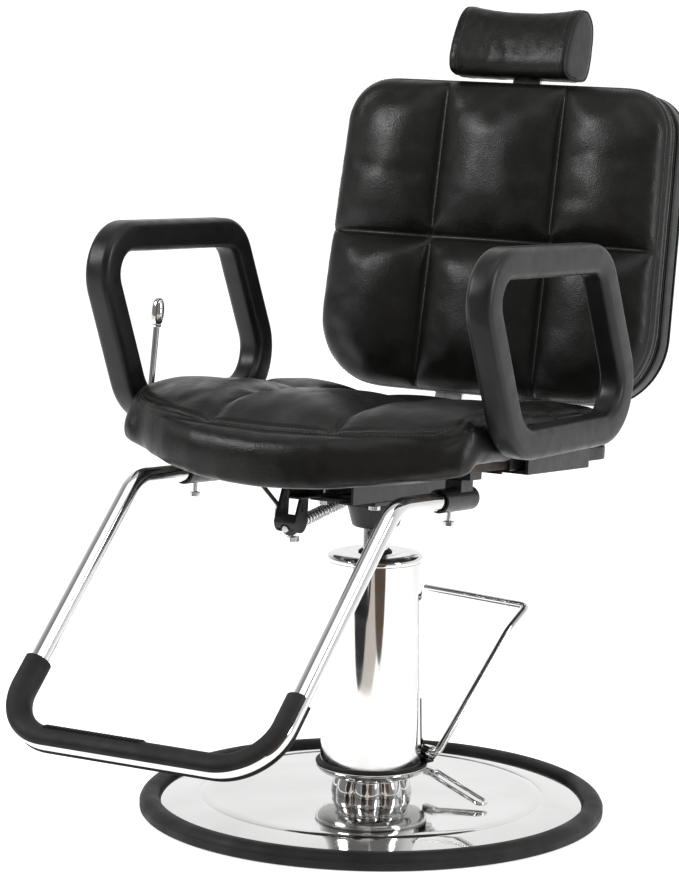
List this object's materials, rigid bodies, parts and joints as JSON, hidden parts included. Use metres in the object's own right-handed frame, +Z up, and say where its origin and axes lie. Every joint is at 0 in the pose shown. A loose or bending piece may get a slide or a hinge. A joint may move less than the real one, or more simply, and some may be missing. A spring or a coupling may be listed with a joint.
{
  "type": "barber chair",
  "caption": "Chair on a round weighted base with a pump column, padded seat, loop armrests, sliding footrest, reclining padded back and a headrest that slides up.",
  "frame": {"origin": "on the floor at the pump column's axis, the centre of the base's underside", "axes": "+Z up, the sitter faces -Y, +X is the sitter's left"},
  "size_m": [0.585, 0.9786, 1.002],
  "materials": {
    "chrome": "polished",
    "zinc": "zinc plated",
    "steel": "plain",
    "cast_iron": "rough",
    "black_paint": "satin",
    "rubber": "matte",
    "arm_plastic": "satin, self-skinned foam",
    "leather": "pebbled vinyl leather",
    "plywood": "plain"
  },
  "bodies": {
    "base": {"base_weight_plate": "cast_iron", "base_rubber_ring": "rubber", "base_cover": "chrome", "column_neck": "chrome", "column_collar": "chrome", "collar_gasket": "rubber", "pump_barrel": "steel", "column_shroud": "chrome", "shroud_cap": "chrome", "rod_seal": "rubber", "pedal_yoke": "chrome", "lock_lug": "zinc"},
    "lift": {"lift_piston": "chrome"},
    "seat_frame": {"seat_hub": "black_paint", "mounting_plate": "black_paint", "plate_bolt_front_right": "zinc", "plate_bolt_front_left": "zinc", "plate_bolt_rear_right": "zinc", "plate_bolt_rear_left": "zinc", "frame_rail_right": "black_paint", "frame_rail_left": "black_paint", "front_cross_bar": "black_paint", "rear_cross_bar": "black_paint", "footrest_socket_right": "black_paint", "footrest_socket_left": "black_paint", "seat_board": "plywood", "seat_cushion": "leather", "arm_bracket_right": "black_paint", "arm_bracket_left": "black_paint", "armrest_right": "arm_plastic", "armrest_left": "arm_plastic", "arm_bolt_front_right": "zinc", "arm_bolt_rear_right": "zinc", "arm_bolt_front_left": "zinc", "arm_bolt_rear_left": "zinc", "hinge_bracket_right": "black_paint", "hinge_bracket_left": "black_paint", "hinge_pin_right": "zinc", "hinge_pin_left": "zinc", "recline_bracket": "black_paint", "lock_sleeve": "black_paint", "lock_set_screw": "zinc", "strut_spring": "zinc"},
    "footrest": {"footrest_frame": "chrome", "foot_tread": "rubber"},
    "clamp_right": {"clamp_screw_right": "zinc"},
    "clamp_left": {"clamp_screw_left": "zinc"},
    "backrest": {"back_arm_right": "zinc", "back_arm_left": "zinc", "back_board": "plywood", "back_cushion": "leather", "back_cover": "leather"},
    "strut": {"strut_rod": "steel"},
    "headrest": {"headrest_stem": "steel", "headrest_pillow": "leather"},
    "release": {"release_lever": "chrome", "release_knob": "chrome"},
    "pedal": {"pump_pedal": "chrome"},
    "plunger": {"pump_plunger": "steel"},
    "lock": {"lock_lever": "chrome"}
  },
  "joints": [
    {"name": "lift_slide", "type": "slide", "parent": "base", "child": "lift", "axis": [0, 0, 1], "range_m": [0, 0.15]},
    {"name": "seat_swivel", "type": "hinge", "parent": "lift", "child": "seat_frame", "pos_m": [0, 0, 0.39], "axis": [0, 0, 1], "continuous": true},
    {"name": "footrest_slide", "type": "slide", "parent": "seat_frame", "child": "footrest", "axis": [0, -0.9969, 0.0785], "range_m": [-0.04, 0.045]},
    {"name": "clamp_turn_right", "type": "hinge", "parent": "seat_frame", "child": "clamp_right", "pos_m": [-0.178, -0.14057, 0.40606], "axis": [0, 0.0785, 0.9969], "continuous": true},
    {"name": "clamp_turn_left", "type": "hinge", "parent": "seat_frame", "child": "clamp_left", "pos_m": [0.178, -0.14057, 0.40606], "axis": [0, 0.0785, 0.9969], "continuous": true},
    {"name": "back_recline", "type": "hinge", "parent": "seat_frame", "child": "backrest", "pos_m": [0, 0.245, 0.448], "axis": [-1, 0, 0], "range_deg": [0, 40]},
    {"name": "strut_slide", "type": "slide", "parent": "seat_frame", "child": "strut", "axis": [0, -0.9948, -0.1021], "range_m": [0, 0.032]},
    {"name": "headrest_slide", "type": "slide", "parent": "backrest", "child": "headrest", "axis": [0, 0.1994, 0.9799], "range_m": [0, 0.08]},
    {"name": "release_turn", "type": "hinge", "parent": "seat_frame", "child": "release", "pos_m": [-0.285, -0.089, 0.449], "axis": [-1, 0, 0], "range_deg": [0, 12], "stiffness_Nm_per_rad": 2, "springref_deg": -6.88},
    {"name": "pedal_press", "type": "hinge", "parent": "base", "child": "pedal", "pos_m": [0.08997, 0.02, 0.076], "axis": [-0.9816, 0.1908, 0], "range_deg": [0, 25], "stiffness_Nm_per_rad": 10, "springref_deg": -11.46},
    {"name": "plunger_slide", "type": "slide", "parent": "base", "child": "plunger", "axis": [0, 0, 1], "range_m": [0, 0.018]},
    {"name": "lock_lever_lift", "type": "hinge", "parent": "base", "child": "lock", "pos_m": [0.06874, 0.03656, 0.0475], "axis": [-0.3722, -0.9281, 0], "range_deg": [0, 20]}
  ],
  "couplings": [
    {"joint": "strut_slide", "follows": "back_recline", "m_per_rad": 0.044},
    {"joint": "plunger_slide", "follows": "pedal_press", "m_per_rad": 0.0368}
  ]
}
